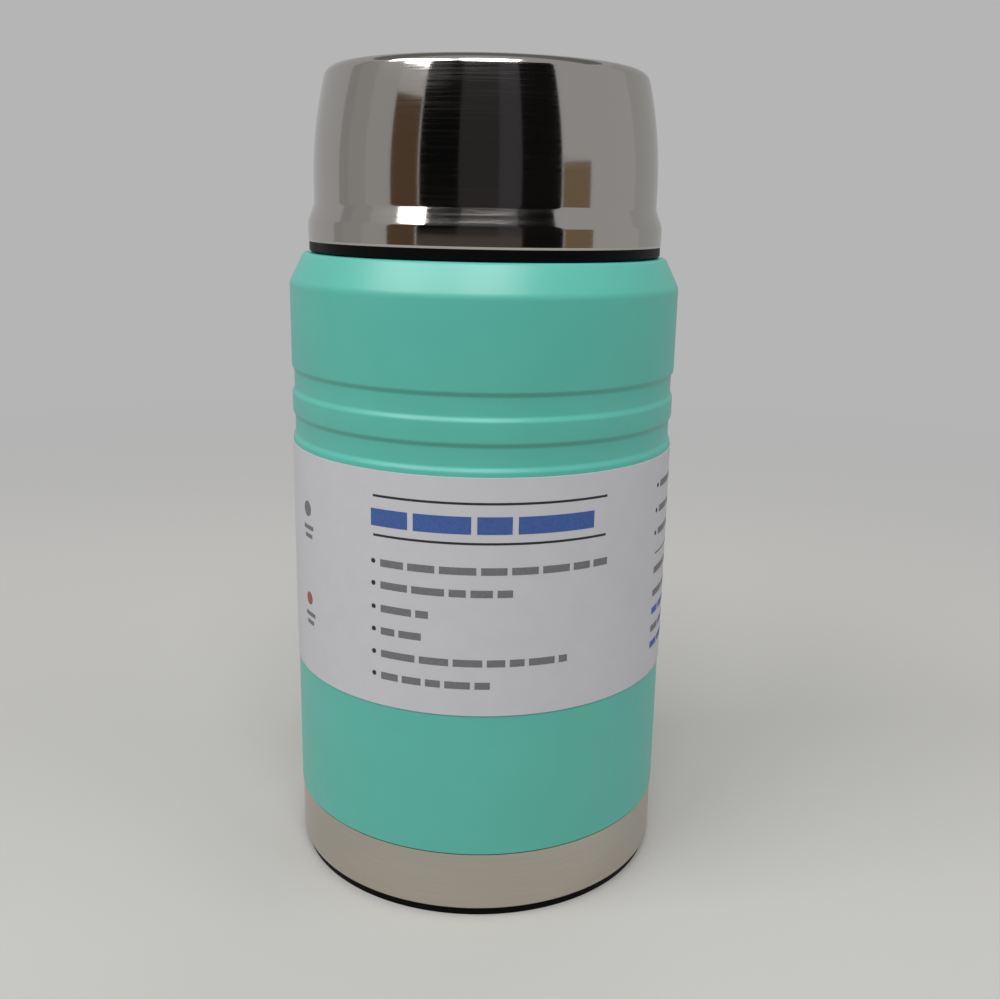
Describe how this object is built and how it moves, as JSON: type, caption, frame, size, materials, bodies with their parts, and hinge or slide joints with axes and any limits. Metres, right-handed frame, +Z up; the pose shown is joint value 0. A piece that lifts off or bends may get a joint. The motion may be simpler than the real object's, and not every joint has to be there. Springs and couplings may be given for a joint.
{
  "type": "insulated food jar",
  "caption": "Round vacuum food jar with a plug stopper that holds a folding spoon, a twist-lock steel cup over it and a paper sleeve.",
  "frame": {"origin": "centre of the base, on the surface the jar stands on", "axes": "+Z up along the jar's axis; the spoon's handle lies along X, its hinge at -X; the picture looks along +Y"},
  "size_m": [0.1005, 0.1004, 0.2061],
  "materials": {
    "teal_powder_coat": "satin powder coat on steel",
    "satin_steel": "brushed stainless steel",
    "polished_steel": "polished stainless steel with fine turning lines",
    "liner_steel": "electropolished stainless steel",
    "copper": "copper plating",
    "getter_metal": "sintered",
    "black_plastic": "moulded polypropylene",
    "white_foam": "foamed plastic",
    "silicone": "translucent silicone",
    "label_paper": "uncoated printed paper",
    "spoon_steel": "tumbled stainless steel"
  },
  "bodies": {
    "jar": {"outer_casing": "teal_powder_coat", "base_shell": "satin_steel", "vacuum_port_disc": "satin_steel", "getter_pellet": "getter_metal", "getter_clip": "liner_steel", "inner_liner": "liner_steel", "copper_layer": "copper", "paper_label": "label_paper"},
    "stopper_seal": {"stopper_gasket": "silicone"},
    "stopper": {"stopper_housing": "black_plastic", "stopper_cover": "black_plastic", "stopper_foam": "white_foam"},
    "spoon_bowl": {"spoon_bowl": "spoon_steel"},
    "spoon_handle": {"spoon_handle": "spoon_steel", "spoon_pin": "spoon_steel"},
    "cup_rim": {"cup_rim_ring": "black_plastic"},
    "cup_pad": {"cup_pad": "white_foam"},
    "cup": {"cup_shell": "polished_steel", "cup_liner": "black_plastic"}
  },
  "joints": [
    {"name": "stopper_lift", "type": "slide", "parent": "jar", "child": "stopper_seal", "axis": [0, 0, 1], "range_m": [0, 0.07]},
    {"name": "stopper_turn", "type": "hinge", "parent": "stopper_seal", "child": "stopper", "pos_m": [0, 0, 0.178], "axis": [0, 0, 1], "range_deg": [-45, 0]},
    {"name": "spoon_out", "type": "slide", "parent": "stopper", "child": "spoon_bowl", "axis": [0, 0, 1], "range_m": [0, 0.025]},
    {"name": "spoon_fold", "type": "hinge", "parent": "spoon_bowl", "child": "spoon_handle", "pos_m": [-0.031, 0, 0.1881], "axis": [0, -1, 0], "range_deg": [0, 180]},
    {"name": "cup_clear_of_spoon", "type": "slide", "parent": "stopper", "child": "cup_rim", "axis": [0, 0, 1], "range_m": [0, 0.205]},
    {"name": "cup_lift", "type": "slide", "parent": "cup_rim", "child": "cup_pad", "axis": [0, 0, 1], "range_m": [0, 0.06]},
    {"name": "cup_turn", "type": "hinge", "parent": "cup_pad", "child": "cup", "pos_m": [0, 0, 0.17], "axis": [0, 0, 1], "range_deg": [-45, 0]}
  ],
  "couplings": [
    {"joint": "spoon_out", "follows": "cup_clear_of_spoon", "ratio": 0.12195},
    {"joint": "spoon_fold", "follows": "cup_clear_of_spoon", "rad_per_m": 15.325}
  ]
}
